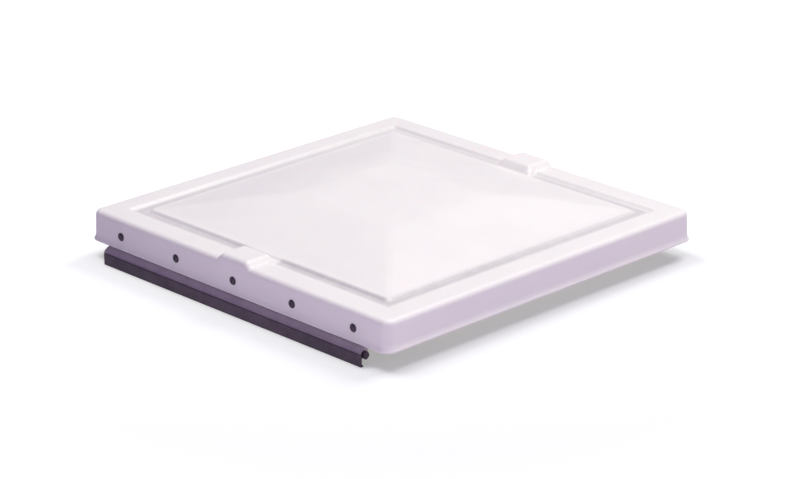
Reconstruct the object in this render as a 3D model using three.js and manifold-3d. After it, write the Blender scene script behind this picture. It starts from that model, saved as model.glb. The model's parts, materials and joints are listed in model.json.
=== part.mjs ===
// Roof vent cover: a square moulded lid with a low dome, hung along one side on a two-part extruded hinge.
// Millimetres, +Z up. X runs along the hinge, and +Y points from the hinge to the free edge.
// The origin is the centre of the footprint, on the plane that the hinge's foot stands on.
import * as THREE from "three";
import { mergeVertices } from "three/addons/utils/BufferGeometryUtils.js";
import Module from "manifold-3d";

const wasm = await Module();
wasm.setup();

// ---------------------------------------------------------------- driving dimensions

const GAP = 0.3; // left between pieces that touch

// Lid, measured from the centre of its square and from the bottom edge of its skirt.
const HALF = 200; // half the width of the skirt, above its lip
const SKIRT = 29.6; // height of the skirt up to the rim
const DRAFT = 0.4; // how much narrower the skirt is at the rim, each side
const WALL = 2.5;
const LIP = { out: 1.8, high: 2.6, slope: 1.2 }; // bead round the skirt's bottom edge
const EDGE = 4; // rounding between skirt and rim
const CORNER = 13; // plan radius of the skirt's corners
const GUTTER = { out: 176.5, in: 159.5, deep: 1.2, wall: 4 }; // round the foot of the dome, with sloping walls

// Dome
const DOME = { foot: 157, top: 62, high: 16.4, curve: 1.45, steps: 6 };
const DOME_CORNER = { foot: 12, top: 30 };
const CROWN = { half: 30, rise: 0.5, peak: 0.7 }; // the flat top is crowned a little

// Raised arches in the middle of the hinge side and of the free side
const ARCH = { foot: 46, top: 30, high: 5.4, setBack: 0.1, inner: { foot: 164.5, top: 172 }, under: 8 };

// Hinge: a hook on the lid's leaf turns round a bead on the base leaf.
const LENGTH = { lidLeaf: 347, baseLeaf: 348 };
const SLIDE = 2.5; // how far the base leaf has slid along the hook, towards +X
const AXIS = { y: -202.7, z: -6.5 };
const BEAD_R = 3.4;
const HOOK = { inner: BEAD_R + GAP, outer: 5.3, from: -71, to: 172 }; // degrees, from +Y towards +Z
const LEAF = { thick: 1.6, top: 22 };
const FOOT = { bottom: -16, thick: 1.6, front: -209.5, back: -188 };
const NECK = 1.4;
const FRONT_RIB = { thick: 1.2, top: -4.9 };
const NOTCH = { long: 14, front: -206.8, top: -10.2 }; // cropped from the foot and neck at each end
const FOOT_HOLE = { r: 2.25, y: -194.5, spacing: 70, count: 5 };

// Blind rivets with wide heads, which hold the lid's leaf inside the skirt
const RIVET = { count: 5, spacing: 78.5, z: 12.8, shank: 1.6, head: 4, headHigh: 1.35, bore: 1 };
const RIVET_TAIL = { r: 2.5, long: 3 };
const MANDREL = { r: 0.7, head: 1.55, headLong: 1.5, recess: 0.45 };

// Foam seal that closes on the upstand of the vent
const SEAL = { out: 186, in: 174, thick: 8 };

// Track in which the vent's lifting arm slides, screwed to bosses under the dome
const TRACK = { long: 120, plate: 48, wide: 22, high: 9, wall: 1.5, slot: 10 };
const BOSS = { x: 17.5, y: 45, r: 4.5, high: 7, hole: 8 };
const SCREW = { r: 1.7, head: 3.4, headHigh: 2.2, long: 8, point: 2 };

// Where the lid sits over the origin
const LID_Y = (-FOOT.front - HALF - LIP.out) / 2;
const LID_Z = -FOOT.bottom;

// ---------------------------------------------------------------- materials

const paint = (color, roughness, metalness) =>
  new THREE.MeshStandardMaterial({ color, roughness, metalness });
const MOULDING = paint(0xe9e4ee, 0.45, 0);
const ANODISED = paint(0x453c46, 0.5, 0.8);
const RIVET_PAINT = paint(0x37303c, 0.5, 0.4);
const STEEL = paint(0xa5a7aa, 0.35, 1);
const ALUMINIUM = paint(0xbfc1c4, 0.4, 1);
const FOAM = paint(0x2a2a2d, 0.95, 0);

// ---------------------------------------------------------------- solids

const radians = THREE.MathUtils.degToRad;

// A closed geometry as a solid that can be joined and cut.
function solid(geometry) {
  const bare = geometry.clone();
  bare.deleteAttribute("normal");
  bare.deleteAttribute("uv");
  const merged = mergeVertices(bare, 1e-4);
  return new wasm.Manifold(
    new wasm.Mesh({
      numProp: 3,
      vertProperties: merged.attributes.position.array,
      triVerts: new Uint32Array(merged.index.array),
    }),
  );
}

function geometryOf(manifold) {
  const mesh = manifold.getMesh();
  const geometry = new THREE.BufferGeometry();
  geometry.setAttribute("position", new THREE.BufferAttribute(mesh.vertProperties, 3));
  geometry.setIndex(new THREE.BufferAttribute(mesh.triVerts, 1));
  geometry.computeVertexNormals();
  return geometry;
}

const join = (solids) => solids.reduce((all, one) => all.add(one));
const cut = (body, tools) => tools.reduce((left, tool) => left.subtract(tool), body);

// A cylinder of radius r from point a to point b, as a solid.
function rod(r, a, b, sides = 16) {
  const [from, to] = [new THREE.Vector3(...a), new THREE.Vector3(...b)];
  const along = to.clone().sub(from);
  const geometry = new THREE.CylinderGeometry(r, r, along.length(), sides);
  const turn = new THREE.Quaternion().setFromUnitVectors(new THREE.Vector3(0, 1, 0), along.normalize());
  geometry.applyQuaternion(turn);
  geometry.translate(...from.add(to).multiplyScalar(0.5).toArray());
  return solid(geometry);
}

// Sections drawn as [y, z] points, pushed along X about a middle.
function alongX(shape, length, middle = 0) {
  const geometry = new THREE.ExtrudeGeometry(shape, { depth: length, bevelEnabled: false });
  geometry.translate(0, 0, middle - length / 2);
  const [x, y, z] = [[1, 0, 0], [0, 1, 0], [0, 0, 1]].map((v) => new THREE.Vector3(...v));
  return geometry.applyMatrix4(new THREE.Matrix4().makeBasis(y, z, x));
}

// Sections drawn as [x, z] points, pushed from y = from to y = to.
function alongY(points, from, to) {
  const shape = new THREE.Shape(points.map(([x, z]) => new THREE.Vector2(x, z)));
  const geometry = new THREE.ExtrudeGeometry(shape, { depth: to - from, bevelEnabled: false });
  geometry.rotateX(Math.PI / 2);
  return geometry.translate(0, to, 0);
}

const centred = (count, spacing) =>
  Array.from({ length: count }, (_, i) => (i - (count - 1) / 2) * spacing);

// ---------------------------------------------------------------- lid shell

// One rounded square: its half width, its corner radius and its height.
const CORNER_STEPS = 5;
function ring({ half, radius, z }) {
  const points = [];
  for (let corner = 0; corner < 4; corner++) {
    const turn = (corner * Math.PI) / 2 + Math.PI / 4;
    const [cx, cy] = [Math.sign(Math.cos(turn)), Math.sign(Math.sin(turn))].map((s) => s * (half - radius));
    for (let i = 0; i <= CORNER_STEPS; i++) {
      const a = (corner + i / CORNER_STEPS) * (Math.PI / 2);
      points.push([cx + radius * Math.cos(a), cy + radius * Math.sin(a), z]);
    }
  }
  return points;
}

// A solid through a stack of rounded squares, closed flat below the first and to a point on the last.
function loft(stations) {
  const rings = stations.map(ring);
  const count = rings[0].length;
  const points = rings.flat();
  const [bottom, top] = [points.length, points.length + 1];
  points.push([0, 0, stations[0].z], [0, 0, stations.at(-1).z]);
  const faces = [];
  const last = (rings.length - 1) * count;
  for (let i = 0; i < count; i++) {
    const next = (i + 1) % count;
    for (let start = 0; start < last; start += count) {
      const [a, b] = [start + i, start + next];
      faces.push(a, b, b + count, a, b + count, a + count);
    }
    faces.push(bottom, next, i, top, last + i, last + next);
  }
  const geometry = new THREE.BufferGeometry();
  geometry.setAttribute("position", new THREE.Float32BufferAttribute(points.flat(), 3));
  geometry.setIndex(faces);
  return solid(geometry);
}

const mix = (a, b, t) => a + (b - a) * t;

// The side and the rim's rounded edge, at a distance in from the outside of the wall.
function sideStations(inset) {
  const station = (half, z) => ({ half: half - inset, radius: CORNER - inset, z });
  const rounding = EDGE - inset;
  const stations = [station(HALF, LIP.high + LIP.slope), station(HALF - DRAFT, SKIRT - EDGE)];
  for (const degrees of [30, 60, 90]) {
    const a = radians(degrees);
    const out = rounding * Math.cos(a);
    stations.push({
      half: HALF - DRAFT - EDGE + out,
      radius: CORNER - EDGE + out,
      z: SKIRT - EDGE + rounding * Math.sin(a),
    });
  }
  return stations;
}

// The dome and its flat top, at a distance below the outside.
function domeStations(below) {
  const stations = [];
  for (let i = 0; i <= DOME.steps; i++) {
    const t = i / DOME.steps;
    stations.push({
      half: mix(DOME.foot, DOME.top, t),
      radius: mix(DOME_CORNER.foot, DOME_CORNER.top, t),
      z: SKIRT + DOME.high * (1 - (1 - t) ** DOME.curve) - below,
    });
  }
  const top = SKIRT + DOME.high - below;
  stations.push({ half: CROWN.half, radius: CROWN.half / 2, z: top + CROWN.rise });
  stations.push({ half: 1, radius: 0.5, z: top + CROWN.peak });
  return stations;
}

function outsideOfLid() {
  const lip = [0, LIP.high].map((z) => ({ half: HALF + LIP.out, radius: CORNER + LIP.out, z }));
  const floor = SKIRT - GUTTER.deep;
  const gutter = [
    [GUTTER.out, SKIRT],
    [GUTTER.out - GUTTER.wall, floor],
    [GUTTER.in + GUTTER.wall, floor],
    [GUTTER.in, SKIRT],
  ].map(([half, z]) => ({ half, radius: DOME_CORNER.foot, z }));
  return loft([...lip, ...sideStations(0), ...gutter, ...domeStations(0)]);
}

// The hollow starts below the skirt, so that it opens the bottom cleanly.
function insideOfLid() {
  const mouth = { half: HALF - WALL, radius: CORNER - WALL, z: -1 };
  return loft([mouth, ...sideStations(WALL), ...domeStations(WALL)]);
}

// An arch across the rim on the side given by sign, with its wall set in by inset. It ends in the gutter.
function arch(sign, inset) {
  const [low, rim, high] = [SKIRT - ARCH.under, SKIRT - inset, SKIRT + ARCH.high - inset];
  const face = HALF - DRAFT - ARCH.setBack - inset;
  const corners = (half, from, to, heights) =>
    [-half, half].flatMap((x) => [from, to].flatMap((y) => heights.map((z) => [x, sign * y, z])));
  return wasm.Manifold.hull([
    ...corners(ARCH.foot / 2 - inset, ARCH.inner.foot + inset, face, [low, rim]),
    ...corners(ARCH.top / 2 - inset, ARCH.inner.top + inset, face, [high]),
  ]);
}

const rivetPlaces = centred(RIVET.count, RIVET.spacing);
const bossPlaces = [-BOSS.x, BOSS.x].flatMap((x) => [-BOSS.y, BOSS.y].map((y) => [x, y]));
const underDome = SKIRT + DOME.high - WALL;
const trackTop = underDome - BOSS.high;

function lidShell() {
  const outside = join([outsideOfLid(), arch(-1, 0), arch(1, 0)]);
  const inside = join([insideOfLid(), arch(-1, WALL), arch(1, WALL)]);
  const bosses = bossPlaces.map(([x, y]) => rod(BOSS.r, [x, y, trackTop + GAP], [x, y, underDome + WALL / 2]));
  const pilots = bossPlaces.map(([x, y]) =>
    rod(SCREW.r + GAP, [x, y, trackTop - 1], [x, y, trackTop + BOSS.hole], 12),
  );
  const rivetHoles = rivetPlaces.map((x) =>
    rod(RIVET.shank + GAP, [x, -HALF - 2 * WALL, RIVET.z], [x, -HALF + 2 * WALL, RIVET.z], 12),
  );
  return geometryOf(cut(join([cut(outside, [inside]), ...bosses]), [...pilots, ...rivetHoles]));
}

// ---------------------------------------------------------------- hinge

const around = (shape, r, from, to, clockwise = false) =>
  shape.absarc(AXIS.y, AXIS.z, r, radians(from), radians(to), clockwise);

// The lid's leaf: a flange inside the skirt, a web out under the lip and a hook round the bead.
function lidLeaf() {
  const outer = -HALF + WALL + 2 * GAP;
  const inner = outer + LEAF.thick;
  const webTop = AXIS.z + HOOK.outer;
  const webUnder = AXIS.z + HOOK.inner;
  const meets = THREE.MathUtils.radToDeg(Math.asin(HOOK.inner / HOOK.outer));
  const shape = new THREE.Shape();
  around(shape, HOOK.outer, HOOK.from, meets);
  shape.lineTo(inner, webUnder);
  shape.lineTo(inner, LEAF.top);
  shape.lineTo(outer, LEAF.top);
  shape.lineTo(outer, webTop);
  around(shape, HOOK.outer, 90, HOOK.to);
  around(shape, HOOK.inner, HOOK.to, HOOK.from, true);
  const holes = rivetPlaces.map((x) =>
    rod(RIVET.shank + GAP, [x, outer - WALL, RIVET.z], [x, inner + WALL, RIVET.z], 12),
  );
  return geometryOf(cut(solid(alongX(shape, LENGTH.lidLeaf)), holes));
}

// The base leaf: a bead on a neck that stands on a flat foot, with a rib in front of the hook.
// The foot and the neck are cropped at both ends, to clear the rounded corners of the vent's frame.
function baseLeaf() {
  const footTop = FOOT.bottom + FOOT.thick;
  const side = NECK / 2;
  const root = THREE.MathUtils.radToDeg(Math.asin(side / BEAD_R));
  const ribBack = FOOT.front + FRONT_RIB.thick;
  const shape = new THREE.Shape();
  shape.moveTo(FOOT.front, FOOT.bottom);
  shape.lineTo(FOOT.back, FOOT.bottom);
  shape.lineTo(FOOT.back, footTop);
  shape.lineTo(AXIS.y + side, footTop);
  around(shape, BEAD_R, -90 + root, 270 - root);
  shape.lineTo(AXIS.y - side, footTop);
  shape.lineTo(ribBack, footTop);
  shape.lineTo(ribBack, FRONT_RIB.top);
  shape.lineTo(FOOT.front, FRONT_RIB.top);
  const holes = centred(FOOT_HOLE.count, FOOT_HOLE.spacing).map((x) =>
    rod(FOOT_HOLE.r, [SLIDE + x, FOOT_HOLE.y, FOOT.bottom - 1], [SLIDE + x, FOOT_HOLE.y, footTop + 1]),
  );
  const notch = [[NOTCH.front, NOTCH.top], [FOOT.back + 1, NOTCH.top]];
  const below = notch.map(([y]) => [y, FOOT.bottom - 1]).reverse();
  const cropped = new THREE.Shape([...notch, ...below].map(([y, z]) => new THREE.Vector2(y, z)));
  const notches = [-1, 1].map((end) =>
    solid(alongX(cropped, 2 * NOTCH.long, SLIDE + (end * LENGTH.baseLeaf) / 2)),
  );
  return geometryOf(cut(solid(alongX(shape, LENGTH.baseLeaf, SLIDE)), [...holes, ...notches]));
}

// ---------------------------------------------------------------- fasteners

// A turned piece from [radius, height] points.
const turned = (points, sides = 14) =>
  new THREE.LatheGeometry(points.map(([r, h]) => new THREE.Vector2(r, h)), sides);

// Rivets lie along Y: height 0 is under the head, and the tail is at +Y.
const rivetSeat = -HALF;
const grip = 2 * GAP + WALL + LEAF.thick + GAP / 2;

function rivetBody() {
  const { shank, head, headHigh, bore } = RIVET;
  const tail = grip + RIVET_TAIL.long;
  return turned([
    [bore, tail],
    [bore, -headHigh],
    [head * 0.62, -headHigh * 0.82],
    [head * 0.9, -headHigh * 0.42],
    [head, 0],
    [shank, 0],
    [shank, grip],
    [RIVET_TAIL.r, grip + 0.6],
    [RIVET_TAIL.r, tail - 0.8],
    [bore + 0.7, tail],
    [bore, tail],
  ]);
}

function rivetMandrel() {
  const start = grip + RIVET_TAIL.long + GAP;
  const end = start + MANDREL.headLong;
  return turned([
    [0, -RIVET.headHigh + MANDREL.recess],
    [MANDREL.r, -RIVET.headHigh + MANDREL.recess],
    [MANDREL.r, start],
    [MANDREL.head, start],
    [MANDREL.head, end - 0.6],
    [MANDREL.head * 0.6, end],
    [0, end],
  ]);
}

// Screws stand along Z: height 0 is under the head, and the point is at +Z.
const screwSeat = trackTop - TRACK.wall - GAP / 2;
function trackScrew() {
  const { r, head, headHigh, long, point } = SCREW;
  const screw = turned([
    [0, -headHigh],
    [head * 0.6, -headHigh],
    [head * 0.92, -headHigh * 0.6],
    [head, 0],
    [r, 0],
    [r, long - point],
    [0, long],
  ]);
  return screw.rotateX(Math.PI / 2);
}

// ---------------------------------------------------------------- seal and track

// A strip of foam under the rim, between two corners of its footprint.
function sealStrip(low, high) {
  const size = new THREE.Vector3(high[0] - low[0], high[1] - low[1], SEAL.thick);
  const strip = new THREE.BoxGeometry(...size.toArray());
  const z = SKIRT - WALL - GAP - SEAL.thick / 2;
  return strip.translate((low[0] + high[0]) / 2, (low[1] + high[1]) / 2, z);
}

// A hat section: a plate that is screwed up to the bosses, and a channel with a slot along its underside.
function liftTrack() {
  const [plate, side, lip] = [TRACK.plate / 2, TRACK.wide / 2, TRACK.slot / 2];
  const under = trackTop - TRACK.wall;
  const bottom = trackTop - TRACK.high;
  const half = [
    [lip, bottom + TRACK.wall],
    [lip, bottom],
    [side, bottom],
    [side, under],
    [plate, under],
    [plate, trackTop],
  ];
  const mirrored = half.map(([x, z]) => [-x, z]).reverse();
  const hollow = [[-1, under], [-1, bottom + TRACK.wall], [1, bottom + TRACK.wall], [1, under]];
  const inside = hollow.map(([sign, z]) => [sign * (side - TRACK.wall), z]);
  const section = [...half, ...mirrored, inside[1], inside[0], inside[3], inside[2]];
  const holes = bossPlaces.map(([x, y]) =>
    rod(SCREW.r + GAP, [x, y, under - 1], [x, y, trackTop + 1], 12),
  );
  return geometryOf(cut(solid(alongY(section, -TRACK.long / 2, TRACK.long / 2)), holes));
}

// ---------------------------------------------------------------- assembly

const cover = new THREE.Group();
cover.position.set(0, LID_Y, LID_Z);

const lid = new THREE.Group();
const base = new THREE.Group();
cover.add(lid, base);

function piece(group, name, geometry, material, place = [0, 0, 0]) {
  const mesh = new THREE.Mesh(geometry, material);
  mesh.name = name;
  mesh.position.set(...place);
  group.add(mesh);
}

piece(lid, "lid_shell", lidShell(), MOULDING);
piece(lid, "hinge_lid_leaf", lidLeaf(), ANODISED);
piece(base, "hinge_base_leaf", baseLeaf(), ANODISED);

rivetPlaces.forEach((x, i) => {
  const place = [x, rivetSeat, RIVET.z];
  piece(lid, `rivet_${i + 1}`, rivetBody(), RIVET_PAINT, place);
  piece(lid, `rivet_mandrel_${i + 1}`, rivetMandrel(), STEEL, place);
});

const { in: near, out: far } = SEAL;
piece(lid, "weather_seal_hinge_side", sealStrip([-far, -far], [far, -near]), FOAM);
piece(lid, "weather_seal_free_side", sealStrip([-far, near], [far, far]), FOAM);
piece(lid, "weather_seal_left", sealStrip([-far, -near + GAP], [-near, near - GAP]), FOAM);
piece(lid, "weather_seal_right", sealStrip([near, -near + GAP], [far, near - GAP]), FOAM);

piece(lid, "lift_track", liftTrack(), ALUMINIUM);
bossPlaces.forEach(([x, y], i) => {
  piece(lid, `track_screw_${i + 1}`, trackScrew(), STEEL, [x, y, screwSeat]);
});

export default cover;
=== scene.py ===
import json
import math

import bpy
import numpy as np
from mathutils import Matrix, Vector, noise

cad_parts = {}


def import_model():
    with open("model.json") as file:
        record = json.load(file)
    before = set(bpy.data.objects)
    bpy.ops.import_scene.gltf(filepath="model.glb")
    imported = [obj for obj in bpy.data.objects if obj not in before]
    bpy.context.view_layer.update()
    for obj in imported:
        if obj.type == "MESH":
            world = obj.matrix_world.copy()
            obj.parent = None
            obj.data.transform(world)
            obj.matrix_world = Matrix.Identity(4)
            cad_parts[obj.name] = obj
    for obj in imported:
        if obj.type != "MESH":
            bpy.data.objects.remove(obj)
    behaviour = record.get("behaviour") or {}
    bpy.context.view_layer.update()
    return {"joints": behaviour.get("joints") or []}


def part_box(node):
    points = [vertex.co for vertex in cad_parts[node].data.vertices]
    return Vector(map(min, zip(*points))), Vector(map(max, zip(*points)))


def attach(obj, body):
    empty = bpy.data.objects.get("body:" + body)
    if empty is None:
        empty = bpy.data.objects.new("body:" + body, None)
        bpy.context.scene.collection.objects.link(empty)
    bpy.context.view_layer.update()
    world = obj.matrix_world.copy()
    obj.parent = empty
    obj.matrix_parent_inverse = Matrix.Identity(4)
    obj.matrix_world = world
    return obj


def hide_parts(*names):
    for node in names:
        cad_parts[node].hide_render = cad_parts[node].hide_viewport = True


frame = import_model()

# Everything below is drawn in millimetres, in the lid's own frame: the origin is the middle of the lid's
# square, on the plane of the skirt's bottom edge. X runs along the hinge and +Y points to the free edge.
MM = 0.001
SHELL_LOW, SHELL_HIGH = (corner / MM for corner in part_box("lid_shell"))
LID = Vector((0, (SHELL_LOW.y + SHELL_HIGH.y) / 2, SHELL_LOW.z))
LEAF_LOW, LEAF_HIGH = (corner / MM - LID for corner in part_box("hinge_lid_leaf"))
BASE_LOW, BASE_HIGH = (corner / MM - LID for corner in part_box("hinge_base_leaf"))
TRACK_LOW, TRACK_HIGH = (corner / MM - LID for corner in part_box("lift_track"))
AXIS = Vector(frame["joints"][0]["pos_m"]) / MM - LID

LID_BODY, BASE_BODY = "lid", "hinge_base"

# Skirt and rim
WALL = 2.5
LIP_OUT = 1.8  # the bottom edge stands this far out of the skirt
LIP_ROUND = 0.7
LIP_STEP = 0.25  # the last of the lip stands out by this much more
LIP_BLEND = 8.5  # the skirt starts to flare out to its lip here
LIP_FLARE = 2.4
HALF = SHELL_HIGH.x - LIP_OUT
SKIRT = 29.6  # height of the rim
DRAFT = 0.4
EDGE = 4.9  # rounding between the skirt and the rim
CORNER = 9.5  # plan radius of the skirt's corners

# Gutter between the rim and the dome, which shows inside the lid as a soft ridge
GUTTER_OUT, GUTTER_IN, GUTTER_WALL, GUTTER_DEEP = 176.5, 159.5, 4.2, 2.3
GUTTER_FLOOR_OUT = 171.3
RIDGE_HIGH = 1.4
RIDGE_OUT, RIDGE_IN = (173.2, 171.2), (162.5, 158.5)

# Dome
DOME_FOOT, DOME_TOP, DOME_HIGH = 157.0, 62.0, 16.4
DOME_CURVE = 1.25  # the slopes are almost straight
HIP_FOOT, HIP_TOP = 5.0, 10.0  # plan radius of the four hips
CROWN_HIGH, CROWN_MIDDLE, CROWN_RINGS = 0.7, 1.2, 14  # the top is crowned a little
DOME_RINGS_OUTSIDE, DOME_RINGS_INSIDE = 30, 16

# Arches over the rim, one above the hinge and one at the free side
ARCH_FOOT, ARCH_TOP, ARCH_HIGH = 23.0, 15.0, 5.4
ARCH_END, ARCH_RUN = 164.5, 8.0
ARCH_SIDE_FADE, ARCH_END_FADE = 3, 4
SKIRT_BLEND = 14.0  # the face of an arch starts to stretch upwards here


def middle_of(node):
    """The middle of a CAD node's box, in the lid's frame."""
    low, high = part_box(node)
    return (low + high) / 2 / MM - LID


RIVETS = [middle_of(f"rivet_{i}") for i in range(1, 6)]
SCREWS = [middle_of(f"track_screw_{i}") for i in range(1, 5)]


# ---------------------------------------------------------------- meshes


def mesh_object(name, points, faces, material, body, sharp=35):
    """A closed mesh drawn in the lid's frame, placed in the row frame and riding on its body."""
    mesh = bpy.data.meshes.new(name)
    placed = (np.asarray(points, float) + np.array(LID)) * MM
    mesh.from_pydata(placed.tolist(), [], [list(map(int, f)) for f in faces])
    mesh.validate()
    mesh.polygons.foreach_set("use_smooth", [True] * len(mesh.polygons))
    mesh.set_sharp_from_angle(angle=math.radians(sharp))
    mesh.materials.append(material)
    made = bpy.data.objects.new(name, mesh)
    bpy.context.scene.collection.objects.link(made)
    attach(made, body)
    return made


def boolean(target, cutters, operation):
    """Applies cutters, given as (points, faces), to target, and leaves nothing of them."""
    for points, faces in cutters:
        placed = (np.asarray(points) + np.array(LID)) * MM
        mesh = bpy.data.meshes.new("tool")
        mesh.from_pydata(placed.tolist(), [], faces)
        tool = bpy.data.objects.new("tool", mesh)
        bpy.context.scene.collection.objects.link(tool)
        modifier = target.modifiers.new("cut", "BOOLEAN")
        modifier.operation = operation
        modifier.solver = "MANIFOLD"
        modifier.object = tool
        bpy.context.view_layer.objects.active = target
        with bpy.context.temp_override(object=target, active_object=target, selected_objects=[target]):
            bpy.ops.object.modifier_apply(modifier=modifier.name)
        bpy.data.objects.remove(tool)
        bpy.data.meshes.remove(mesh)


HOLE_SIDES = 40  # of a boss or a bored hole

# Rotations from Z to the axis that a turned solid stands along
TURNS = {
    "X": Matrix.Rotation(math.pi / 2, 3, "Y"),
    "Y": Matrix.Rotation(-math.pi / 2, 3, "X"),
    "Z": Matrix.Identity(3),
}


def turned(profile, sides, place=(0, 0, 0), along="Z"):
    """A turned solid. Its (radius, height) points start and end on the axis, or close on themselves."""
    closed = profile[0] == profile[-1]
    rings = profile[:-1] if closed else profile
    points, faces, index = [], [], []
    for radius, height in rings:
        if radius < 1e-6:
            index.append([len(points)] * sides)
            points.append((0, 0, height))
            continue
        index.append(list(range(len(points), len(points) + sides)))
        for k in range(sides):
            a = 2 * math.pi * k / sides
            points.append((radius * math.cos(a), radius * math.sin(a), height))
    pairs = list(zip(index, index[1:])) + ([(index[-1], index[0])] if closed else [])
    for low, high in pairs:
        for k in range(sides):
            n = (k + 1) % sides
            corners = [low[k], low[n], high[n], high[k]]
            face = [v for i, v in enumerate(corners) if v != corners[i - 1]]
            if len(face) > 2:
                faces.append(face)
    placed = np.array(points) @ np.array(TURNS[along]).T + np.array(place)
    return placed, faces


def arc(centre, radius, start, end, step=5.0):
    """Points on an arc, with angles in degrees."""
    count = max(2, round(abs(end - start) / step) + 1)
    angles = np.radians(np.linspace(start, end, count))
    return [(centre[0] + radius * math.cos(a), centre[1] + radius * math.sin(a)) for a in angles]


def rounded(outline, radius, corner=25.0, steps=4):
    """An outline with each corner sharper than the given angle rounded off."""
    made = []
    for i, here in enumerate(outline):
        before, after = np.array(outline[i - 1]), np.array(outline[(i + 1) % len(outline)])
        here = np.array(here)
        to_before, to_after = before - here, after - here
        reach = [np.linalg.norm(v) for v in (to_before, to_after)]
        if min(reach) < 1e-6:
            continue
        to_before, to_after = to_before / reach[0], to_after / reach[1]
        turn = math.pi - math.acos(max(-1, min(1, float(to_before @ to_after))))
        if turn < math.radians(corner):
            made.append(tuple(here))
            continue
        cut = min(radius * math.tan(turn / 2), 0.45 * min(reach))
        start, end = here + to_before * cut, here + to_after * cut
        for k in range(steps + 1):
            t = k / steps
            made.append(tuple((1 - t) ** 2 * start + 2 * t * (1 - t) * here + t * t * end))
    return made


def extruded(outline, low, high, along="X", chamfer=0.15):
    """A section pushed from low to high, with eased ends: (y, z) points along X, or (x, z) along Y."""
    outline = np.array(outline)
    following = np.roll(outline, -1, 0)
    ahead = following - np.roll(outline, 1, 0)
    normals = np.stack([ahead[:, 1], -ahead[:, 0]], 1) / np.linalg.norm(ahead, axis=1)[:, None]
    area = 0.5 * np.sum(outline[:, 0] * following[:, 1] - following[:, 0] * outline[:, 1])
    if area < 0:
        normals = -normals
    inset = outline - normals * chamfer
    rings = [(inset, low), (outline, low + chamfer), (outline, high - chamfer), (inset, high)]
    count = len(outline)
    points = []
    for ring, place in rings:
        for u, v in ring:
            points.append((place, u, v) if along == "X" else (u, place, v))
    faces = []
    for r in range(len(rings) - 1):
        for k in range(count):
            n = (k + 1) % count
            faces.append([r * count + k, r * count + n, (r + 1) * count + n, (r + 1) * count + k])
    faces.append(list(range(count))[::-1])
    faces.append(list(range(3 * count, 4 * count)))
    if (area < 0) != (along == "Y"):
        faces = [face[::-1] for face in faces]
    return np.array(points), faces


# ---------------------------------------------------------------- materials


class Nodes:
    """A short way to write a node material."""

    def __init__(self, name):
        self.material = bpy.data.materials.new(name)
        self.material.use_nodes = True
        self.tree = self.material.node_tree
        self.shader = self.tree.nodes["Principled BSDF"]
        self.place = self.tree.nodes.new("ShaderNodeTexCoord").outputs["Object"]

    def link(self, source, target):
        self.tree.links.new(source, target)

    def node(self, kind, **settings):
        made = self.tree.nodes.new(kind)
        for key, value in settings.items():
            setattr(made, key, value)
        return made

    def scaled(self, x, y, z):
        mapping = self.node("ShaderNodeMapping")
        mapping.inputs["Scale"].default_value = (x, y, z)
        self.link(self.place, mapping.inputs["Vector"])
        return mapping.outputs["Vector"]

    def noise(self, scale, detail=3.0, rough=0.5, vector=None):
        made = self.node("ShaderNodeTexNoise")
        made.inputs["Scale"].default_value = scale
        made.inputs["Detail"].default_value = detail
        made.inputs["Roughness"].default_value = rough
        self.link(vector or self.place, made.inputs["Vector"])
        return made.outputs["Fac"]

    def between(self, value, low, high, first=0.0, last=1.0):
        """value from low to high, mapped to first to last and kept inside them."""
        made = self.node("ShaderNodeMapRange")
        for key, number in zip(("From Min", "From Max", "To Min", "To Max"), (low, high, first, last)):
            made.inputs[key].default_value = number
        self.link(value, made.inputs["Value"])
        return made.outputs["Result"]

    def math(self, operation, a, b):
        made = self.node("ShaderNodeMath", operation=operation)
        for socket, value in zip(made.inputs, (a, b)):
            if isinstance(value, (int, float)):
                socket.default_value = value
            else:
                self.link(value, socket)
        return made.outputs[0]

    def mix(self, share, first, last):
        made = self.node("ShaderNodeMix", data_type="RGBA")
        self.link(share, made.inputs["Factor"])
        for socket, value in zip([s for s in made.inputs if s.type == "RGBA"], (first, last)):
            if isinstance(value, tuple):
                socket.default_value = (*value, 1.0)
            else:
                self.link(value, socket)
        return next(s for s in made.outputs if s.type == "RGBA")

    def bump(self, height, distance, strength=1.0, under=None):
        made = self.node("ShaderNodeBump")
        made.inputs["Strength"].default_value = strength
        made.inputs["Distance"].default_value = distance
        self.link(height, made.inputs["Height"])
        if under is not None:
            self.link(under, made.inputs["Normal"])
        self.link(made.outputs["Normal"], self.shader.inputs["Normal"])
        return made.outputs["Normal"]

    def set(self, **values):
        for key, value in values.items():
            self.shader.inputs[key.replace("_", " ")].default_value = value
        return self.material


PLASTIC, PLASTIC_SHADE = (0.74, 0.725, 0.725), (0.72, 0.705, 0.71)
ENAMEL, ENAMEL_SHADE = (0.036, 0.028, 0.042), (0.062, 0.05, 0.068)
FOAM_CELL, FOAM_SKIN = (0.02, 0.02, 0.023), (0.05, 0.05, 0.055)

# Painted shade: the gutter between the rim and the dome is darkened in the colour to stand in for the
# shade that falls in it, more towards +X and -Y
GUTTER_SHADE = (0.505, 0.49, 0.51)
GUTTER_SHADE_NEAR, GUTTER_SHADE_FAR = 164.5, 170.0  # where the painted shade is darkest: at the dome's foot, and further out at -X +Y
GUTTER_SHADE_FULL, GUTTER_SHADE_REACH = 2.2, 7.0  # full within the first distance from there, and gone at the second
GUTTER_SHADE_LEAN = (-0.3, 0.2)  # x - y, in metres, where there is least and most of it
GUTTER_SHADE_LEAST = 0.5
GUTTER_SHADE_START, GUTTER_SHADE_STOP = (-2.8, -2.6), (0.3, 1.5)  # heights over the rim where it starts and stops
GUTTER_SHADE_CLEAR = (ARCH_FOOT - 2, ARCH_FOOT + 3)  # there is none by the arches: it sets in over this stretch


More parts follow.
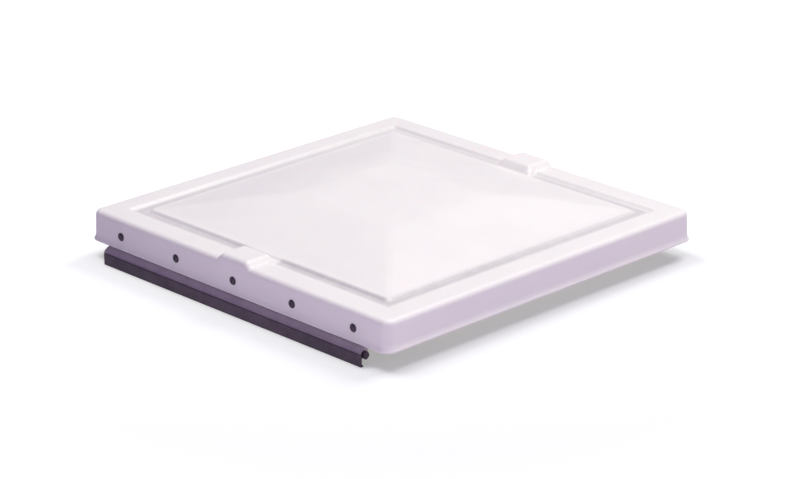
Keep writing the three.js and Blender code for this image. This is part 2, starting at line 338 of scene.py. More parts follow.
def gutter_shade_share(n):
    """How much painted shade lies at a place: only in the gutter, and more of it towards +X and -Y."""
    parts = n.node("ShaderNodeSeparateXYZ")
    n.link(n.place, parts.inputs[0])
    across = n.math("ABSOLUTE", parts.outputs["X"], 0.0)
    along = n.math("ABSOLUTE", n.math("SUBTRACT", parts.outputs["Y"], LID.y * MM), 0.0)
    lean = n.between(n.math("SUBTRACT", parts.outputs["X"], parts.outputs["Y"]), *GUTTER_SHADE_LEAN)
    line = n.between(lean, 0.0, 1.0, GUTTER_SHADE_FAR * MM, GUTTER_SHADE_NEAR * MM)
    off = n.math("ABSOLUTE", n.math("SUBTRACT", n.math("MAXIMUM", across, along), line), 0.0)
    inside = n.between(off, GUTTER_SHADE_FULL * MM, GUTTER_SHADE_REACH * MM, 1.0, 0.0)
    open_gutter = n.between(across, *(place * MM for place in GUTTER_SHADE_CLEAR))
    rim = LID.z + SKIRT
    above = n.between(parts.outputs["Z"], *((rim + height) * MM for height in GUTTER_SHADE_START))
    below = n.between(parts.outputs["Z"], *((rim + height) * MM for height in GUTTER_SHADE_STOP), 1.0, 0.0)
    share = n.between(lean, 0.0, 1.0, GUTTER_SHADE_LEAST, 1.0)
    for part in (inside, above, below, open_gutter):
        share = n.math("MULTIPLY", share, part)
    return share


def moulded_white():
    """White polypropylene with a fine mould texture, soft flow marks and painted shade in the gutter."""
    n = Nodes("moulded_white")
    flow = n.noise(14, 4, 0.55)
    clean = n.mix(n.between(flow, 0.35, 0.65), PLASTIC, PLASTIC_SHADE)
    patches = n.between(n.noise(55, 4, 0.6), 0.3, 0.6, 0.8, 1.0)
    # painted shade: the gutter is darkened in the base colour, broken up by noise patches
    colour = n.mix(n.math("MULTIPLY", gutter_shade_share(n), patches), clean, GUTTER_SHADE)
    n.link(colour, n.shader.inputs["Base Color"])
    sheen = n.noise(45, 3, 0.6)
    n.link(n.between(sheen, 0.3, 0.7, 0.44, 0.54), n.shader.inputs["Roughness"])
    waves = n.bump(n.noise(22, 2, 0.4), 0.0004, 0.35)
    n.bump(n.noise(1500, 2, 0.6), 0.00004, 0.5, waves)
    return n.set(Subsurface_Weight=0.06, Subsurface_Scale=0.004, IOR=1.49)


def drawn_metal(name, colour, shade, metal, rough, along):
    """An extrusion: fine die lines along its length, with a mottled anodised or mill surface."""
    n = Nodes(name)
    stretch = [2600.0, 2600.0, 2600.0]
    stretch["XYZ".index(along)] = 9.0
    lines = n.noise(1.0, 3, 0.6, n.scaled(*stretch))
    mottle = n.noise(60, 4, 0.6)
    n.link(n.mix(n.between(mottle, 0.35, 0.7), colour, shade), n.shader.inputs["Base Color"])
    n.link(n.between(lines, 0.3, 0.7, rough - 0.06, rough + 0.08), n.shader.inputs["Roughness"])
    n.bump(lines, 0.00003, 0.5)
    return n.set(Metallic=metal)


def enamel():
    """Dark enamel on the rivet heads, a little orange-peeled."""
    n = Nodes("rivet_enamel")
    colour = n.mix(n.between(n.noise(420, 3), 0.4, 0.65), ENAMEL, ENAMEL_SHADE)
    n.link(colour, n.shader.inputs["Base Color"])
    n.link(n.between(n.noise(300, 2), 0.3, 0.7, 0.34, 0.5), n.shader.inputs["Roughness"])
    n.bump(n.noise(900, 2), 0.00003, 0.5)
    return n.set(Metallic=0.35)


def bright_steel(name, colour, shade):
    """Bare or plated steel, faintly mottled."""
    n = Nodes(name)
    n.link(n.mix(n.between(n.noise(380, 3), 0.35, 0.7), colour, shade), n.shader.inputs["Base Color"])
    n.link(n.between(n.noise(700, 3), 0.3, 0.7, 0.24, 0.42), n.shader.inputs["Roughness"])
    n.bump(n.noise(2200, 2), 0.00001, 0.5)
    return n.set(Metallic=1.0)


def closed_cell_foam():
    """Charcoal foam: fine closed cells, with a matt skin."""
    n = Nodes("seal_foam")
    cells = n.node("ShaderNodeTexVoronoi")
    cells.inputs["Scale"].default_value = 1300
    n.link(n.place, cells.inputs["Vector"])
    depth = cells.outputs["Distance"]
    n.link(n.mix(n.between(depth, 0.1, 0.7), FOAM_CELL, FOAM_SKIN), n.shader.inputs["Base Color"])
    n.bump(depth, 0.00025, 0.8)
    return n.set(Roughness=0.95)


# ---------------------------------------------------------------- lid shell

ARC_POINTS = 12
SIDE_SPREAD, SIDE_DENSE = 12, 46  # points on one side: outside DENSE_HALF, at each end, and inside it
DENSE_HALF = 27.0


def side_positions(reach):
    """Places along one straight side, closer together in the middle, where the arches are."""
    dense = min(DENSE_HALF, 0.5 * reach)
    left = np.linspace(-reach, -dense, SIDE_SPREAD, endpoint=False)
    middle = np.linspace(-dense, dense, SIDE_DENSE)
    return np.concatenate([left, middle, -left[::-1]])


def square_ring(half, radius):
    """A rounded square as points, from the +X side round to the -Y side."""
    side = [(half, t) for t in side_positions(half - radius)]
    turn = np.linspace(0, math.pi / 2, ARC_POINTS + 2)[1:-1]
    corner = [(half - radius + radius * math.cos(a), half - radius + radius * math.sin(a)) for a in turn]
    one = np.array(side + corner)
    quarter = np.array([[0, 1], [-1, 0]])
    rings = [one]
    for _ in range(3):
        rings.append(rings[-1] @ quarter)
    return np.vstack(rings)


def smooth(t):
    """A soft step from 0 to 1."""
    t = np.clip(t, 0, 1)
    return t * t * (3 - 2 * t)


def arch_lift(x, half, inset):
    """How far the arch stands over the rim at x on one ring, and how much of it is there."""
    reach = np.abs(x) + inset
    inner = half - inset
    slope = smooth((ARCH_FOOT - reach) / (ARCH_FOOT - ARCH_TOP))
    lift = ARCH_HIGH * slope * smooth((inner - ARCH_END) / ARCH_RUN)
    beside = smooth((ARCH_FOOT + 1 - reach) / ARCH_SIDE_FADE)
    along = smooth((inner - ARCH_END + 1.5) / ARCH_END_FADE)
    return lift, beside * along


def raise_arches(ring, z, half, inset):
    """The heights of one ring, with the two arches raised out of it."""
    lift, share = arch_lift(ring[:, 0], half, inset)
    on_side = np.abs(ring[:, 1]) > np.abs(ring[:, 0])
    if half > HALF - DRAFT - EDGE - 0.01:
        stretch = smooth((z - SKIRT_BLEND) / (SKIRT - EDGE - SKIRT_BLEND))
        return z + np.where(on_side, lift * share * stretch, 0)
    over = np.maximum(SKIRT - inset + lift - z, 0)
    return z + np.where(on_side, share * over, 0)


def dome_profile(steps, below):
    """(half, radius, z) up the dome and over its crowned top."""
    least = 0.2 if below == 0 else 0  # the outside starts just above the rim
    stations = []
    for t in np.linspace(0, 1, steps):
        half = DOME_FOOT + (DOME_TOP - DOME_FOOT) * t
        radius = HIP_FOOT + (HIP_TOP - HIP_FOOT) * t
        rise = DOME_HIGH * (1 - (1 - t) ** DOME_CURVE)
        stations.append((half, radius, SKIRT - below + max(rise, least)))
    top = SKIRT + DOME_HIGH - below
    for t in np.linspace(0, 1, CROWN_RINGS)[1:]:
        half = DOME_TOP * (1 - t) + CROWN_MIDDLE * t
        crown = CROWN_HIGH * (1 - (half / DOME_TOP) ** 2)
        stations.append((half, half * (HIP_TOP / DOME_TOP), top + crown))
    return stations


def step(start, end, low, high, radius):
    """A soft-edged step across the rim, as stations."""
    stations = []
    for t in np.linspace(0, 1, 9):
        stations.append((start + (end - start) * t, radius, low + (high - low) * smooth(t)))
    return stations


def outside_profile():
    """The visible side, from the skirt's bottom edge up to the foot of the dome."""
    lip = HALF + LIP_OUT - LIP_ROUND
    stations = []
    for degrees in (-90, -60, -30, 0):
        a = math.radians(degrees)
        z = LIP_ROUND + LIP_ROUND * math.sin(a)
        stations.append((lip + LIP_ROUND * math.cos(a), CORNER + LIP_OUT, z))
    for t in np.linspace(0, 1, 9):
        flare = (LIP_OUT - LIP_STEP) * (1 - t) ** LIP_FLARE + LIP_STEP * max(0.0, 1 - 6 * t)
        stations.append((HALF + flare, CORNER + flare, 2 * LIP_ROUND + (LIP_BLEND - 2 * LIP_ROUND) * t))
    for z in np.linspace(LIP_BLEND + 1.5, SKIRT - EDGE, 10):
        share = (z - LIP_BLEND) / (SKIRT - EDGE - LIP_BLEND)
        stations.append((HALF - DRAFT * share, CORNER, z))
    for degrees in range(10, 91, 10):
        a = math.radians(degrees)
        out = EDGE * math.cos(a)
        z = SKIRT - EDGE + EDGE * math.sin(a)
        stations.append((HALF - DRAFT - EDGE + out, CORNER - EDGE + out, z))
    radius = CORNER - EDGE
    stations += [(half, radius, SKIRT) for half in (192, 187, 182, 178.5)]
    low = SKIRT - GUTTER_DEEP
    stations += step(GUTTER_OUT, GUTTER_OUT - GUTTER_WALL, SKIRT, low, radius)
    foot = GUTTER_IN + GUTTER_WALL
    stations += [(half, radius + 1, low) for half in np.linspace(GUTTER_FLOOR_OUT, foot + 1, 7)]
    stations += step(foot, GUTTER_IN, low, SKIRT + 0.1, HIP_FOOT + 1)
    stations.append((DOME_FOOT + 1.2, HIP_FOOT + 0.5, SKIRT + 0.16))
    return stations


def inside_profile():
    """The hollow side, from the skirt's bottom edge up to the foot of the dome."""
    half, radius = HALF - WALL, CORNER - WALL
    stations = [(half + 0.4, radius, 0.0), (half + 0.1, radius, 0.15), (half, radius, 0.5)]
    start = 4
    for z in np.linspace(start, SKIRT - EDGE, 8):
        stations.append((half - DRAFT * (z - start) / (SKIRT - EDGE - start), radius, z))
    rounding = EDGE - WALL
    for degrees in (22, 45, 67, 90):
        a = math.radians(degrees)
        out = rounding * math.cos(a)
        z = SKIRT - EDGE + rounding * math.sin(a)
        stations.append((HALF - DRAFT - EDGE + out, CORNER - EDGE + out, z))
    radius = CORNER - EDGE + 1
    high = SKIRT - WALL
    low = high - RIDGE_HIGH
    stations += [(at, radius, high) for at in (190, 185, 180, 177, 175.5, 174.2)]
    stations += step(*RIDGE_OUT, high, low, radius)
    stations += [(at, radius, low) for at in (170, 168.5, 167, 165.5, 164)]
    stations += step(*RIDGE_IN, low, high, HIP_FOOT + 1)
    return stations


def skin(stations, inset):
    """One ring of points for each station, with the arches raised out of them."""
    return [
        np.column_stack([ring, raise_arches(ring, np.full(len(ring), z), half, inset)])
        for half, radius, z in stations
        for ring in [square_ring(half, radius)]
    ]


def shell_mesh():
    """The outside and the inside as one closed surface, joined at the skirt's bottom edge."""
    outer = skin(outside_profile() + dome_profile(DOME_RINGS_OUTSIDE, 0), 0)
    inner = skin(inside_profile() + dome_profile(DOME_RINGS_INSIDE, WALL), WALL)
    count = len(outer[0])
    points = np.vstack(outer + inner + [outer[-1].mean(0)[None], inner[-1].mean(0)[None]])
    faces = []
    in_start = len(outer) * count
    outer_peak, inner_peak = len(points) - 2, len(points) - 1
    for k in range(count):
        n = (k + 1) % count
        for r in range(len(outer) - 1):
            a = r * count
            faces.append([a + k, a + n, a + count + n, a + count + k])
        for r in range(len(inner) - 1):
            a = in_start + r * count
            faces.append([a + k, a + count + k, a + count + n, a + n])
        faces.append([k, in_start + k, in_start + n, n])
        last = (len(outer) - 1) * count
        faces.append([last + k, last + n, outer_peak])
        last = in_start + (len(inner) - 1) * count
        faces.append([last + n, last + k, inner_peak])
    return points, faces


BOSS_R, BOSS_HOLE_R, BOSS_HOLE_DEEP = 4.5, 2.0, 7.2
BOSS_ROOT = 0.8  # bosses and ribs reach this far into the skin
BOSS_GAP = 0.3  # between a boss and the track
RIB_WIDE = 1.6


def shell_bosses():
    """Screw bosses with a soft foot, and a thin rib between each pair."""
    root = SKIRT + DOME_HIGH - WALL + BOSS_ROOT
    bottom = TRACK_HIGH.z + BOSS_GAP
    foot = [(BOSS_R + out, root - down) for out, down in ((1.6, 0), (1.2, 0.9), (0.5, 1.5), (0.1, 2.4))]
    end = [(BOSS_R, bottom + 0.4), (BOSS_R - 0.4, bottom)]
    deep = bottom + BOSS_HOLE_DEEP
    hole = [(BOSS_HOLE_R + 0.3, bottom), (BOSS_HOLE_R, bottom + 0.3), (BOSS_HOLE_R, deep), (0, deep)]
    profile = [(0, root)] + foot + end + hole
    parts = [turned(profile[::-1], HOLE_SIDES, (screw.x, screw.y, 0)) for screw in SCREWS]
    reach = max(screw.x for screw in SCREWS) - BOSS_HOLE_R - 0.6
    section = rounded([(-reach, root), (-reach, bottom + 2), (reach, bottom + 2), (reach, root)], 0.2)
    for y in sorted({round(screw.y, 3) for screw in SCREWS}):
        parts.append(extruded(section, y - RIB_WIDE / 2, y + RIB_WIDE / 2, "Y", 0.2))
    return parts


def lid_shell():
    """The moulded shell, with its bosses joined on."""
    material = moulded_white()
    shell = mesh_object("lid_shell_moulded", *shell_mesh(), material, LID_BODY, 50)
    boolean(shell, shell_bosses(), "UNION")
    shell.data.polygons.foreach_set("use_smooth", [True] * len(shell.data.polygons))
    shell.data.set_sharp_from_angle(angle=math.radians(40))
    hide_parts("lid_shell")


# ---------------------------------------------------------------- hinge

BRONZE, BRONZE_SHADE = (0.43, 0.365, 0.425), (0.36, 0.305, 0.36)
DARK_BRONZE, DARK_BRONZE_SHADE = (0.075, 0.06, 0.08), (0.05, 0.04, 0.055)

BEAD_R, HOOK_IN, HOOK_OUT = 3.4, 3.7, 5.3
HOOK_FROM, HOOK_TO = -71, 172  # degrees round the bead
SHOULDER_TOP, SHOULDER_FRONT, SHOULDER_AT = -0.15, -202.6, 118  # the lid's bottom edge rests on this
SECTION_ROUND = 0.35
FLANGE_THICK, FOOT_THICK, RIB_THICK, NECK = 1.6, 1.6, 1.2, 1.4
RIB_TOP = -4.9
FOOT_HOLE_R, FOOT_HOLE_SINK, FOOT_HOLE_Y = 2.25, 1.5, -194.5
FOOT_HOLES = [-140, -70, 0, 70, 140]
NOTCH_LONG, NOTCH_FRONT, NOTCH_TOP = 14.0, -206.8, -10.2


def hinge_leaves():
    """The lid's leaf, whose hook turns round the bead of the base leaf."""
    bronze = drawn_metal("bronze_anodised", BRONZE, BRONZE_SHADE, metal=0.75, rough=0.46, along="X")
    dark = drawn_metal(
        "dark_bronze_anodised", DARK_BRONZE, DARK_BRONZE_SHADE, metal=0.75, rough=0.42, along="X"
    )
    centre = (AXIS.y, AXIS.z)
    inner = LEAF_HIGH.y
    outer = inner - FLANGE_THICK
    meets = math.degrees(math.asin(HOOK_IN / HOOK_OUT))
    hook = arc(centre, HOOK_OUT, HOOK_FROM, meets)
    hook += [(inner, AXIS.z + HOOK_IN), (inner, LEAF_HIGH.z), (outer, LEAF_HIGH.z)]
    hook += [(outer, SHOULDER_TOP), (SHOULDER_FRONT, SHOULDER_TOP)]
    hook += arc(centre, HOOK_OUT, SHOULDER_AT, HOOK_TO) + arc(centre, HOOK_IN, HOOK_TO, HOOK_FROM)
    leaf = mesh_object(
        "hinge_lid_leaf_extrusion",
        *extruded(rounded(hook, SECTION_ROUND), LEAF_LOW.x, LEAF_HIGH.x),
        bronze,
        LID_BODY,
    )
    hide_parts("hinge_lid_leaf")

    side = NECK / 2
    top = BASE_LOW.z + FOOT_THICK
    root = math.degrees(math.asin(side / BEAD_R))
    rib_back = BASE_LOW.y + RIB_THICK
    section = [(BASE_LOW.y, BASE_LOW.z), (BASE_HIGH.y, BASE_LOW.z), (BASE_HIGH.y, top)]
    section += [(AXIS.y + side, top)]
    section += arc(centre, BEAD_R, -90 + root, 270 - root)
    section += [(AXIS.y - side, top), (rib_back, top), (rib_back, RIB_TOP), (BASE_LOW.y, RIB_TOP)]
    base = mesh_object(
        "hinge_base_leaf_extrusion",
        *extruded(rounded(section, SECTION_ROUND), BASE_LOW.x, BASE_HIGH.x),
        dark,
        BASE_BODY,
    )
    middle = (BASE_LOW.x + BASE_HIGH.x) / 2
    under = BASE_LOW.z - 1
    sink = [(0, under), (FOOT_HOLE_R, under), (FOOT_HOLE_R, top - 0.5)]
    sink += [(FOOT_HOLE_R + FOOT_HOLE_SINK, top + 1), (0, top + 1)]
    cutters = [turned(sink, HOLE_SIDES, (middle + x, FOOT_HOLE_Y, 0)) for x in FOOT_HOLES]
    behind = BASE_HIGH.y + 1
    notch = [(NOTCH_FRONT, under), (behind, under), (behind, NOTCH_TOP), (NOTCH_FRONT, NOTCH_TOP)]
    for end in (BASE_LOW.x, BASE_HIGH.x):
        cutters.append(extruded(notch, end - NOTCH_LONG, end + NOTCH_LONG))
    boolean(base, cutters, "DIFFERENCE")
    base.data.set_sharp_from_angle(angle=math.radians(35))
    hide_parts("hinge_base_leaf")


# ---------------------------------------------------------------- rivets

MANDREL_STEEL, MANDREL_STEEL_SHADE = (0.16, 0.155, 0.165), (0.09, 0.085, 0.095)
RIVET_SIDES, MANDREL_SIDES = 56, 32
RIVET_SEAT = -200.0  # the heads sit on the skirt here
RIVET_GRIP = 4.85
HEAD_R, HEAD_HIGH, SHANK_R, BORE_R = 4.0, 1.35, 1.6, 1.0
HEAD_TURN = 70  # degrees of a circle in the head's section
TAIL_R, TAIL_LONG, BULGE_LONG = 2.5, 3.0, 2.2
MANDREL_R, MANDREL_HEAD_R, MANDREL_HEAD_LONG = 0.7, 1.55, 1.5


def rivet_section():
    """A blind rivet: a domed head, a hollow shank and a tail bulged behind the hinge leaf."""
    tail = RIVET_GRIP + TAIL_LONG
    flat = math.sin(math.radians(HEAD_TURN))
    head = []
    for degrees in range(0, HEAD_TURN + 1, 7):
        a = math.radians(degrees)
        head.append((HEAD_R * math.cos(a), -HEAD_HIGH * math.sin(a) / flat))
    section = [(BORE_R, tail), (BORE_R, -HEAD_HIGH + 0.25), (BORE_R + 0.12, -HEAD_HIGH + 0.02)]
    section += head[::-1]
    section += [(HEAD_R - 0.1, 0.0), (SHANK_R, 0.0), (SHANK_R, RIVET_GRIP)]
    foot = SHANK_R + 0.1
    for degrees in range(0, 181, 20):
        out = math.sin(math.radians(degrees)) ** 0.7
        section.append((foot + (TAIL_R - foot) * out, RIVET_GRIP + 0.15 + BULGE_LONG * degrees / 180))
    section += [(SHANK_R - 0.2, tail - 0.1), (BORE_R + 0.2, tail), (BORE_R, tail)]
    return section


def mandrel_section():
    """The mandrel left in the rivet: broken off inside the head, with its own head behind the tail."""
    start = RIVET_GRIP + TAIL_LONG + 0.3
    end = start + MANDREL_HEAD_LONG
    stem = -HEAD_HIGH + 0.45
    broken = [(0, stem + 0.12), (MANDREL_R * 0.5, stem - 0.06), (MANDREL_R * 0.85, stem + 0.05)]
    shank = [(MANDREL_R, stem + 0.3), (MANDREL_R, start)]
    head = [(MANDREL_HEAD_R - 0.2, start), (MANDREL_HEAD_R, start + 0.2), (MANDREL_HEAD_R, end - 0.7)]
    head += [(MANDREL_HEAD_R * 0.85, end - 0.25), (MANDREL_HEAD_R * 0.5, end - 0.05), (0, end)]
    return broken + shank + head


def rivets():
    paint = enamel()
    steel = bright_steel("mandrel_steel", MANDREL_STEEL, MANDREL_STEEL_SHADE)
    body, mandrel = rivet_section(), mandrel_section()
    for i, middle in enumerate(RIVETS, 1):
        place = (middle.x, RIVET_SEAT, middle.z)
        made = mesh_object(f"rivet_{i}_set", *turned(body, RIVET_SIDES, place, "Y"), paint, LID_BODY)
        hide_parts(f"rivet_{i}")
        points, faces = turned(mandrel, MANDREL_SIDES, place, "Y")
        made = mesh_object(f"rivet_mandrel_{i}_broken", points, faces, steel, LID_BODY)
        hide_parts(f"rivet_mandrel_{i}")


# ---------------------------------------------------------------- seal

SEAL_NODES = [f"weather_seal_{side}" for side in ("hinge_side", "free_side", "left", "right")]
FOAM_STEP, FOAM_FACE_STEP = 3.0, 1.5
FOAM_PULL = 0.1  # how uneven the faces are


def foam_strip(node, material):
    """A strip cut from soft foam: eased edges, slightly uneven faces and square-cut ends."""
    low, high = (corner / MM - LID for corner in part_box(node))
    size = high - low
    along = 0 if size.x > size.y else 1
    across = 1 - along
    w, h = size[across] - 0.2, size.z - 0.1
    section = rounded([(-w / 2, -h / 2), (w / 2, -h / 2), (w / 2, h / 2), (-w / 2, h / 2)], 0.5)
    dense = []
    for a, b in zip(section, section[1:] + section[:1]):
        parts = max(1, round(math.dist(a, b) / FOAM_FACE_STEP))
        dense += [tuple(np.array(a) + (np.array(b) - np.array(a)) * k / parts) for k in range(parts)]
    length = size[along] - 0.2
    places = np.linspace(-length / 2, length / 2, max(2, round(length / FOAM_STEP)))
    middle = (low + high) / 2
    points = []
    for at in places:
        for u, v in dense:
            place = [0.0, 0.0, v]
            place[along], place[across] = at, u
            wave = noise.noise_vector(Vector((place[0] * 0.09 + 7, place[1] * 0.09, v * 0.2)))
            place[across] += FOAM_PULL * wave[0] * (1 if abs(u) < w / 2 else 0.5)
            place[2] += FOAM_PULL * 0.5 * wave[2]
            points.append([c + m for c, m in zip(place, middle)])
    count = len(dense)
    faces = []
    for r in range(len(places) - 1):
        for k in range(count):
            n = (k + 1) % count
            faces.append([r * count + k, r * count + n, (r + 1) * count + n, (r + 1) * count + k])
    last = (len(places) - 1) * count
    faces += [list(range(count))[::-1], list(range(last, last + count))]
    if along == 1:
        faces = [face[::-1] for face in faces]
    strip = mesh_object(f"{node}_foam", points, faces, material, LID_BODY)
    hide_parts(node)


# ---------------------------------------------------------------- lift track

MILL, MILL_SHADE = (0.62, 0.63, 0.645), (0.52, 0.53, 0.55)
PLATED_STEEL, PLATED_STEEL_SHADE = (0.56, 0.57, 0.6), (0.43, 0.44, 0.46)
TRACK_WALL, TRACK_WIDE, TRACK_SLOT = 1.5, 22.0, 10.0


def lift_track():
    """A channel open along its lower side, with a flange on both sides that the screws hold."""
    mill = drawn_metal("mill_aluminium", MILL, MILL_SHADE, metal=1.0, rough=0.34, along="Y")
    plate, side, lip = TRACK_HIGH.x, TRACK_WIDE / 2, TRACK_SLOT / 2
    top, bottom = TRACK_HIGH.z, TRACK_LOW.z
    under, over = top - TRACK_WALL, bottom + TRACK_WALL
    half = [(lip, over), (lip, bottom), (side, bottom), (side, under), (plate, under), (plate, top)]
    mirrored = [(-x, z) for x, z in reversed(half)]
    hollow = side - TRACK_WALL
    section = half + mirrored + [(-hollow, over), (-hollow, under), (hollow, under), (hollow, over)]
    track = mesh_object(
        "lift_track_extrusion",
        *extruded(rounded(section, 0.4), TRACK_LOW.y, TRACK_HIGH.y, "Y"),
        mill,
        LID_BODY,
    )
    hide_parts("lift_track")


SCREW_HEAD_R, SCREW_HEAD_HIGH, SCREW_HEAD_EDGE = 3.4, 2.2, 0.25
SCREW_R, SCREW_LONG = 1.68, 8.0
POINT_LONG, POINT_LEAST = 2.4, 0.03  # the tapered point, and the share of the radius left at its end
SCREW_SIDES, SCREW_RINGS = 36, 84
THREAD_DEEP, THREAD_PITCH, THREAD_START = 0.45, 1.25, 0.8
THREAD_WIDE = 0.28  # from a crest to its foot, as a share of the pitch


def screw_mesh(place):
    """A pan-head screw: the head and a coarse thread as one turned surface, with its point up."""
    head = []
    for degrees in range(0, 81, 10):
        a = math.radians(degrees)
        high = SCREW_HEAD_EDGE + (1 - SCREW_HEAD_EDGE) * math.sin(a)
        head.append((SCREW_HEAD_R * math.cos(a) ** 0.8, -SCREW_HEAD_HIGH * high))
    profile = [(0, -SCREW_HEAD_HIGH)] + head[::-1] + [(SCREW_HEAD_R, -0.15), (SCREW_HEAD_R - 0.15, 0.0)]
    first = 1 + (len(profile) - 1) * SCREW_SIDES  # the first point of the shank
    heights = np.linspace(0.0, SCREW_LONG - 0.05, SCREW_RINGS)
    profile += [(SCREW_R, height) for height in heights]
    profile += [(0, SCREW_LONG)]
    points, faces = turned(profile, SCREW_SIDES)
    for i, height in enumerate(heights):
        taper = min(1.0, max(POINT_LEAST, (SCREW_LONG - height) / POINT_LONG))
        ramp = min(1.0, height / THREAD_START)
        for k in range(SCREW_SIDES):
            phase = (height / THREAD_PITCH - k / SCREW_SIDES) % 1.0
            crest = max(0.0, 1 - abs(phase - 0.5) / THREAD_WIDE)
            radius = (SCREW_R - THREAD_DEEP + THREAD_DEEP * crest * ramp) * taper
            a = 2 * math.pi * k / SCREW_SIDES
            points[first + i * SCREW_SIDES + k] = (radius * math.cos(a), radius * math.sin(a), height)
    return points + np.array(place), faces


RECESS_BOTTOM, RECESS_MOUTH = (-0.75, 0.7, 0.25), (-3.0, 1.9, 0.42)  # height, reach, half width


def cross_recess(place):
    """The two crossed slots of the screw's driver recess, which narrow as they go in."""
    parts = []
    for turn in (0, math.pi / 2):
        c, s = math.cos(turn), math.sin(turn)
        corners = []
        for height, reach, wide in (RECESS_MOUTH, RECESS_BOTTOM):
            for u, v in ((-1, -1), (1, -1), (1, 1), (-1, 1)):
                x, y = u * reach, v * wide
                corners.append((c * x - s * y, s * x + c * y, height))
        faces = [[3, 2, 1, 0], [4, 5, 6, 7]]
        faces += [[k, (k + 1) % 4, 4 + (k + 1) % 4, 4 + k] for k in range(4)]
        parts.append((np.array(corners) + np.array(place), faces))
    return parts


def track_screws():
    steel = bright_steel("plated_steel", PLATED_STEEL, PLATED_STEEL_SHADE)
    seat = TRACK_HIGH.z - TRACK_WALL - 0.15
    for i, middle in enumerate(SCREWS, 1):
        place = (middle.x, middle.y, seat)
        made = mesh_object(f"track_screw_{i}_pan_head", *screw_mesh(place), steel, LID_BODY)
        boolean(made, cross_recess(place), "DIFFERENCE")
        made.data.set_sharp_from_angle(angle=math.radians(35))
        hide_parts(f"track_screw_{i}")


# ---------------------------------------------------------------- camera, floor and light

VIEW_AZIMUTH, VIEW_ELEVATION, VIEW_ROLL = 45.54, 20.74, -0.08  # degrees
VIEW_DISTANCE, VIEW_RIGHT, VIEW_UP = 2947.0, 7.6, -0.6
LENS, SENSOR = 140.57, 36


def camera():
    """Looks at the lid from the azimuth and elevation above, moved a little right and down."""
    a, e = math.radians(VIEW_AZIMUTH), math.radians(VIEW_ELEVATION)
    back = Vector((math.sin(a) * math.cos(e), -math.cos(a) * math.cos(e), math.sin(e)))
    right = Vector((math.cos(a), math.sin(a), 0))
    up = back.cross(right)
    data = bpy.data.cameras.new("camera")
    data.lens = LENS
    data.sensor_width = SENSOR
    data.clip_end = 100
    made = bpy.data.objects.new("camera", data)
    bpy.context.scene.collection.objects.link(made)
    turn = Matrix((right, up, back)).transposed() @ Matrix.Rotation(math.radians(VIEW_ROLL), 3, "Z")
    made.rotation_mode = "QUATERNION"
    made.rotation_quaternion = turn.to_quaternion()
    made.location = (LID + back * VIEW_DISTANCE + right * VIEW_RIGHT + up * VIEW_UP) * MM
    bpy.context.scene.camera = made


# The floor looks neutral to the camera, and throws a faint lavender light onto the lid, less of it at -X.
FLOOR_HALF = 30.0
FLOOR_SEEN, FLOOR_BOUNCE, FLOOR_DIM = (0.62, 0.63, 0.61), (0.62, 0.575, 0.63), (0.38, 0.37, 0.42)
GLOW_SEEN, GLOW_BOUNCE, GLOW_DIM = (0.32, 0.33, 0.31), (0.36, 0.305, 0.35), (0.06, 0.06, 0.07)
GLOW_FAR = (1.0, 1.0, 1.0)
DIM_TO_BOUNCE = (-0.5, 0.0)  # along X, in metres
SEEN_TO_FAR = (0.45, 1.5)  # from the middle, in metres


def floor():
    """A floor whose own glow is painted light, dim near the lid and lavender onto it, that turns into a
    pure white surround.
    """
    low, high = -FLOOR_HALF, FLOOR_HALF
    mesh = bpy.data.meshes.new("floor")
    mesh.from_pydata([(low, low, 0), (high, low, 0), (high, high, 0), (low, high, 0)], [], [(0, 1, 2, 3)])
    n = Nodes("floor")
    seen = n.node("ShaderNodeLightPath").outputs["Is Camera Ray"]
    parts = n.node("ShaderNodeSeparateXYZ")
    n.link(n.place, parts.inputs[0])
    share = n.between(parts.outputs["X"], *DIM_TO_BOUNCE)
    n.link(n.mix(seen, n.mix(share, FLOOR_DIM, FLOOR_BOUNCE), FLOOR_SEEN), n.shader.inputs["Base Color"])
    distance = n.node("ShaderNodeVectorMath", operation="LENGTH")
    n.link(n.place, distance.inputs[0])
    white = n.mix(n.between(distance.outputs["Value"], *SEEN_TO_FAR), GLOW_SEEN, GLOW_FAR)
    n.link(n.mix(seen, n.mix(share, GLOW_DIM, GLOW_BOUNCE), white), n.shader.inputs["Emission Color"])
    mesh.materials.append(n.set(Roughness=1.0, Specular_IOR_Level=0.0, Emission_Strength=1.0))
    made = bpy.data.objects.new("floor", mesh)
    bpy.context.scene.collection.objects.link(made)
    return made


def softbox(name, toward, distance, size, power, colour):
    """A square area light that shines on the lid from a direction. Its distance and size are metres."""
    data = bpy.data.lights.new(name, "AREA")
    data.shape = "SQUARE"
    data.size = size
    data.energy = power
    data.color = colour
    made = bpy.data.objects.new(name, data)
    bpy.context.scene.collection.objects.link(made)
    direction = Vector(toward).normalized()
    made.location = direction * distance + LID * MM
    made.rotation_mode = "QUATERNION"
    made.rotation_quaternion = direction.to_track_quat("Z", "Y")
    return made


WORLD = (0.20, 0.155, 0.285)
WHITE = (1.0, 1.0, 1.0)


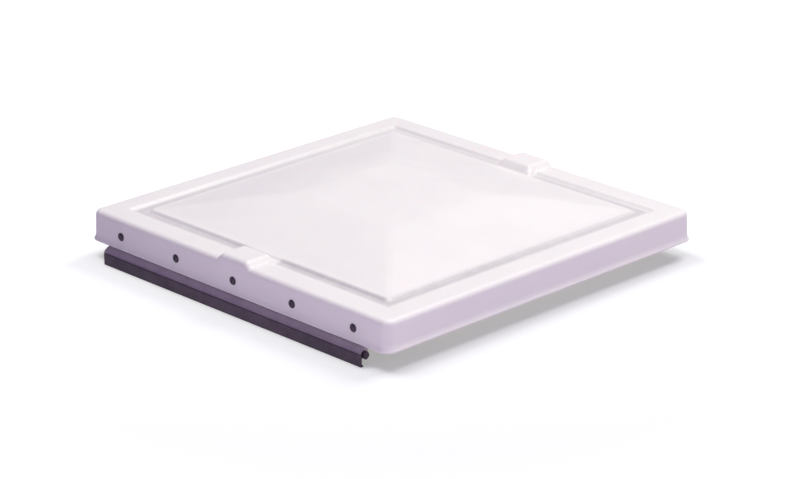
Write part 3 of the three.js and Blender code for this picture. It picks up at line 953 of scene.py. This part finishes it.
def world():
    """White where the camera sees it, and a dim lavender light on everything else."""
    made = bpy.data.worlds.new("studio")
    made.use_nodes = True
    tree = made.node_tree
    fill = tree.nodes["Background"]
    fill.inputs["Color"].default_value = (*WORLD, 1)
    fill.inputs["Strength"].default_value = 1.0
    seen = tree.nodes.new("ShaderNodeBackground")
    seen.inputs["Color"].default_value = (*WHITE, 1)
    pick = tree.nodes.new("ShaderNodeMixShader")
    path = tree.nodes.new("ShaderNodeLightPath")
    tree.links.new(path.outputs["Is Camera Ray"], pick.inputs["Fac"])
    tree.links.new(fill.outputs[0], pick.inputs[1])
    tree.links.new(seen.outputs[0], pick.inputs[2])
    tree.links.new(pick.outputs[0], tree.nodes["World Output"].inputs["Surface"])
    bpy.context.scene.world = made


def only_on(light, thing, state):
    """Makes a light shine on one thing only (INCLUDE), or on everything but it (EXCLUDE)."""
    group = bpy.data.collections.new(f"{light.name}_{state.lower()}")
    group.objects.link(thing)
    for member in group.collection_objects:
        member.light_linking.link_state = state
    light.light_linking.receiver_collection = group


def lighting(ground):
    """Two lights for the lid, three for the floor and the shadows on it, and the surround."""
    key = softbox("key", (0.16, 0.22, 1.0), 2.4, 1.5, 72, (1.0, 1.0, 0.90))
    front = softbox("front", (0.8, -1.0, 0.27), 0.85, 0.5, 0.9, (0.98, 0.92, 1.0))
    floor_top = softbox("floor_top", (0.0, 0.1, 1.0), 2.4, 1.8, 15, WHITE)
    floor_side = softbox("floor_side", (-0.5, -0.1, 1.0), 2.4, 1.2, 33, WHITE)
    floor_back = softbox("floor_back", (0.0, 0.9, 1.0), 2.4, 1.0, 30, WHITE)
    for light in (key, front):
        only_on(light, ground, "EXCLUDE")
    for light in (floor_top, floor_side, floor_back):
        only_on(light, ground, "INCLUDE")
    world()
    settings = bpy.context.scene.view_settings
    settings.view_transform = "Standard"
    settings.look = "None"


# ---------------------------------------------------------------- scene

camera()
ground = floor()
lighting(ground)

lid_shell()
hinge_leaves()
rivets()
foam = closed_cell_foam()
for seal in SEAL_NODES:
    foam_strip(seal, foam)
lift_track()
track_screws()
